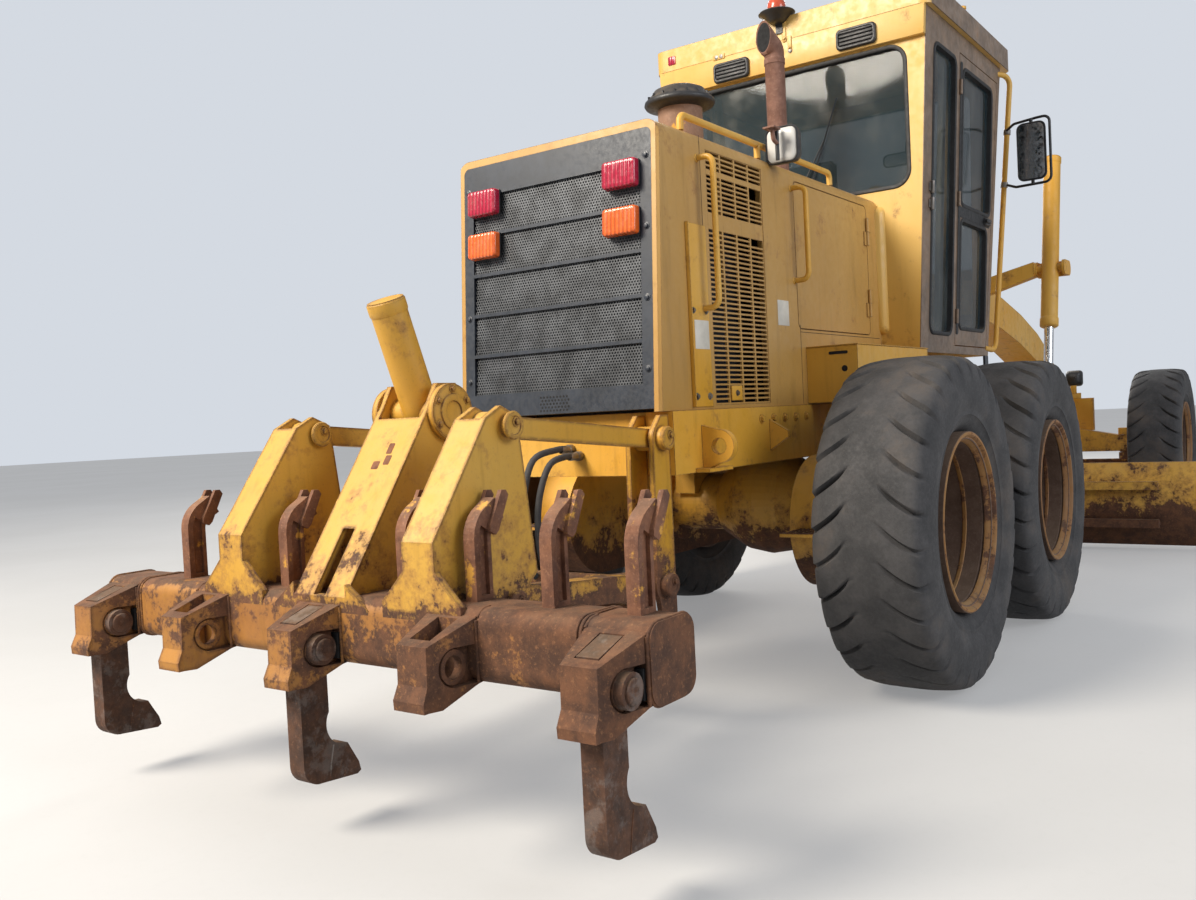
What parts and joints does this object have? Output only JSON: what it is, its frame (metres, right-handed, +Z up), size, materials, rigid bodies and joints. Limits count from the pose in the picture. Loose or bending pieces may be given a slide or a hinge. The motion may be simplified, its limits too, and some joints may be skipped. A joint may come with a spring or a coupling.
{
  "type": "motor grader",
  "caption": "Six-wheel motor grader with hinged frame, hollow cab, blade on a turning circle and a rear ripper with scarifier teeth.",
  "frame": {"origin": "on the ground, midway between the ripper's rear and the front tyres' front, on the centre line", "axes": "+X forward, +Y to the machine's left, +Z up"},
  "size_m": [9.97, 3.66, 3.31],
  "materials": {
    "yellow_paint": "faded warm yellow paint",
    "rust_steel": "brown rust over worn paint",
    "black_paint": "black paint",
    "rim_paint": "yellow paint with rust",
    "tyre": "worn dusty rubber",
    "bright_rod": "chrome",
    "glass": "dark tinted glass",
    "lamp_lens": "ribbed red and amber lenses",
    "stack_rust": "heat-rusted steel",
    "cushion": "dark cloth",
    "mirror": "mirror in a black case",
    "blade_steel": "worn paint and bare steel"
  },
  "bodies": {
    "chassis": {"rear_frame": "yellow_paint", "cross_members": "yellow_paint", "ripper_hangers": "yellow_paint", "louvre_panels": "yellow_paint", "rear_axle": "yellow_paint", "tandem_cases": "yellow_paint", "engine_block": "black_paint", "hood": "yellow_paint", "grille": "black_paint", "lamps": "lamp_lens", "pre_cleaner": "black_paint", "exhaust_stack": "stack_rust", "handrails": "yellow_paint", "side_boxes": "yellow_paint", "cab_shell": "yellow_paint", "cab_roof": "yellow_paint", "cab_glass": "glass", "operator_station": "black_paint", "seat_cushions": "cushion", "mirrors": "mirror", "steps": "black_paint"},
    "hood_door_left": {"hood_door_left": "yellow_paint"},
    "hood_door_right": {"hood_door_right": "yellow_paint"},
    "cab_door_left": {"cab_door_left": "yellow_paint", "door_glass_left": "glass"},
    "cab_door_right": {"cab_door_right": "yellow_paint", "door_glass_right": "glass"},
    "front": {"front_frame": "yellow_paint", "lift_saddle": "yellow_paint", "front_axle": "yellow_paint"},
    "lift_barrels": {"lift_barrels": "yellow_paint"},
    "lift_rods": {"lift_rods": "bright_rod"},
    "drawbar": {"drawbar": "yellow_paint"},
    "circle": {"circle": "yellow_paint"},
    "blade_carrier": {"blade_carrier": "yellow_paint"},
    "moldboard": {"moldboard": "blade_steel"},
    "spindle_left": {"spindle_left": "yellow_paint"},
    "spindle_right": {"spindle_right": "yellow_paint"},
    "tie_rod": {"tie_rod": "yellow_paint"},
    "ripper_arms": {"ripper_arms": "yellow_paint"},
    "ripper_links": {"ripper_links": "yellow_paint"},
    "ripper_beam": {"ripper_beam": "rust_steel", "ripper_towers": "yellow_paint", "ripper_shanks": "rust_steel", "scarifier_shanks": "rust_steel"},
    "ripper_barrel": {"ripper_barrel": "yellow_paint"},
    "ripper_rod": {"ripper_rod": "bright_rod"},
    "wheel_rear_left": {"tyre_rear_left": "tyre", "rim_rear_left": "rim_paint"},
    "wheel_rear_right": {"tyre_rear_right": "tyre", "rim_rear_right": "rim_paint"},
    "wheel_mid_left": {"tyre_mid_left": "tyre", "rim_mid_left": "rim_paint"},
    "wheel_mid_right": {"tyre_mid_right": "tyre", "rim_mid_right": "rim_paint"},
    "wheel_front_left": {"tyre_front_left": "tyre", "rim_front_left": "rim_paint"},
    "wheel_front_right": {"tyre_front_right": "tyre", "rim_front_right": "rim_paint"}
  },
  "joints": [
    {"name": "articulation", "type": "hinge", "parent": "chassis", "child": "front", "pos_m": [0.165, 0, 0.96], "axis": [0, 0, 1], "range_deg": [-20, 20]},
    {"name": "roll_rear_left", "type": "hinge", "parent": "chassis", "child": "wheel_rear_left", "pos_m": [-2.5465, 1.043, 0.68], "axis": [0, 1, 0], "continuous": true},
    {"name": "roll_rear_right", "type": "hinge", "parent": "chassis", "child": "wheel_rear_right", "pos_m": [-2.5465, -1.043, 0.68], "axis": [0, 1, 0], "continuous": true},
    {"name": "roll_mid_left", "type": "hinge", "parent": "chassis", "child": "wheel_mid_left", "pos_m": [-1.0235, 1.043, 0.68], "axis": [0, 1, 0], "continuous": true},
    {"name": "roll_mid_right", "type": "hinge", "parent": "chassis", "child": "wheel_mid_right", "pos_m": [-1.0235, -1.043, 0.68], "axis": [0, 1, 0], "continuous": true},
    {"name": "steer_left", "type": "hinge", "parent": "front", "child": "spindle_left", "pos_m": [4.305, 0.74, 0.68], "axis": [0, 0, 1], "range_deg": [-50, 50]},
    {"name": "steer_right", "type": "hinge", "parent": "front", "child": "spindle_right", "pos_m": [4.305, -0.74, 0.68], "axis": [0, 0, 1], "range_deg": [-50, 50]},
    {"name": "tie_rod_swing", "type": "hinge", "parent": "spindle_left", "child": "tie_rod", "pos_m": [4.525, 0.74, 0.49], "axis": [0, 0, 1], "range_deg": [-50, 50]},
    {"name": "roll_front_left", "type": "hinge", "parent": "spindle_left", "child": "wheel_front_left", "pos_m": [4.305, 1.043, 0.68], "axis": [0, 1, 0], "continuous": true},
    {"name": "roll_front_right", "type": "hinge", "parent": "spindle_right", "child": "wheel_front_right", "pos_m": [4.305, -1.043, 0.68], "axis": [0, 1, 0], "continuous": true},
    {"name": "drawbar_lift", "type": "hinge", "parent": "front", "child": "drawbar", "pos_m": [3.965, 0, 0.98], "axis": [0, 1, 0], "range_deg": [-16, 11]},
    {"name": "lift_swing", "type": "hinge", "parent": "front", "child": "lift_barrels", "pos_m": [1.565, 0, 2.115], "axis": [0, 1, 0], "range_deg": [-8, 5.5]},
    {"name": "lift_stroke", "type": "slide", "parent": "lift_barrels", "child": "lift_rods", "axis": [-0.2285, 0, -0.9735], "range_m": [-0.5, 0.73]},
    {"name": "circle_turn", "type": "hinge", "parent": "drawbar", "child": "circle", "pos_m": [1.715, 0, 0.9], "axis": [0, 0, 1], "continuous": true},
    {"name": "blade_tip", "type": "hinge", "parent": "circle", "child": "blade_carrier", "pos_m": [1.475, 0, 0.22], "axis": [0, 1, 0], "range_deg": [-5, 35]},
    {"name": "blade_shift", "type": "slide", "parent": "blade_carrier", "child": "moldboard", "axis": [0, 1, 0], "range_m": [-0.512, 0.663]},
    {"name": "ripper_lift", "type": "hinge", "parent": "chassis", "child": "ripper_arms", "pos_m": [-3.654, 0, 0.564], "axis": [0, 1, 0], "range_deg": [-27, 20]},
    {"name": "ripper_link_swing", "type": "hinge", "parent": "chassis", "child": "ripper_links", "pos_m": [-3.638, 0, 1.089], "axis": [0, 1, 0], "range_deg": [-27, 20]},
    {"name": "ripper_beam_level", "type": "hinge", "parent": "ripper_arms", "child": "ripper_beam", "pos_m": [-4.502, 0, 0.64], "axis": [0, 1, 0], "range_deg": [-20, 27]},
    {"name": "ripper_cylinder_swing", "type": "hinge", "parent": "ripper_beam", "child": "ripper_barrel", "pos_m": [-4.349, 0, 1.217], "axis": [0, 1, 0], "range_deg": [-13, 9.5]},
    {"name": "ripper_stroke", "type": "slide", "parent": "ripper_barrel", "child": "ripper_rod", "axis": [0.3472, 0, -0.9378], "range_m": [-0.37, 0.28]},
    {"name": "cab_door_left_swing", "type": "hinge", "parent": "chassis", "child": "cab_door_left", "pos_m": [-0.841, 0.70099, 1.5], "axis": [0, 0.0569, 0.9984], "range_deg": [0, 100]},
    {"name": "cab_door_right_swing", "type": "hinge", "parent": "chassis", "child": "cab_door_right", "pos_m": [-0.841, -0.70099, 1.5], "axis": [0, -0.0569, 0.9984], "range_deg": [-100, 0]},
    {"name": "hood_door_left_swing", "type": "hinge", "parent": "chassis", "child": "hood_door_left", "pos_m": [-1.593, 0.496, 1.8], "axis": [0, 0, 1], "range_deg": [-95, 0]},
    {"name": "hood_door_right_swing", "type": "hinge", "parent": "chassis", "child": "hood_door_right", "pos_m": [-1.593, -0.496, 1.8], "axis": [0, 0, 1], "range_deg": [0, 95]}
  ],
  "couplings": [
    {"joint": "steer_right", "follows": "steer_left", "ratio": 1},
    {"joint": "tie_rod_swing", "follows": "steer_left", "ratio": -1},
    {"joint": "lift_swing", "follows": "drawbar_lift", "ratio": 0.49399},
    {"joint": "lift_stroke", "follows": "drawbar_lift", "m_per_rad": -2.5775},
    {"joint": "ripper_link_swing", "follows": "ripper_lift", "ratio": 1},
    {"joint": "ripper_beam_level", "follows": "ripper_lift", "ratio": -1},
    {"joint": "ripper_cylinder_swing", "follows": "ripper_lift", "ratio": 0.44788},
    {"joint": "ripper_stroke", "follows": "ripper_lift", "m_per_rad": 0.77786}
  ]
}
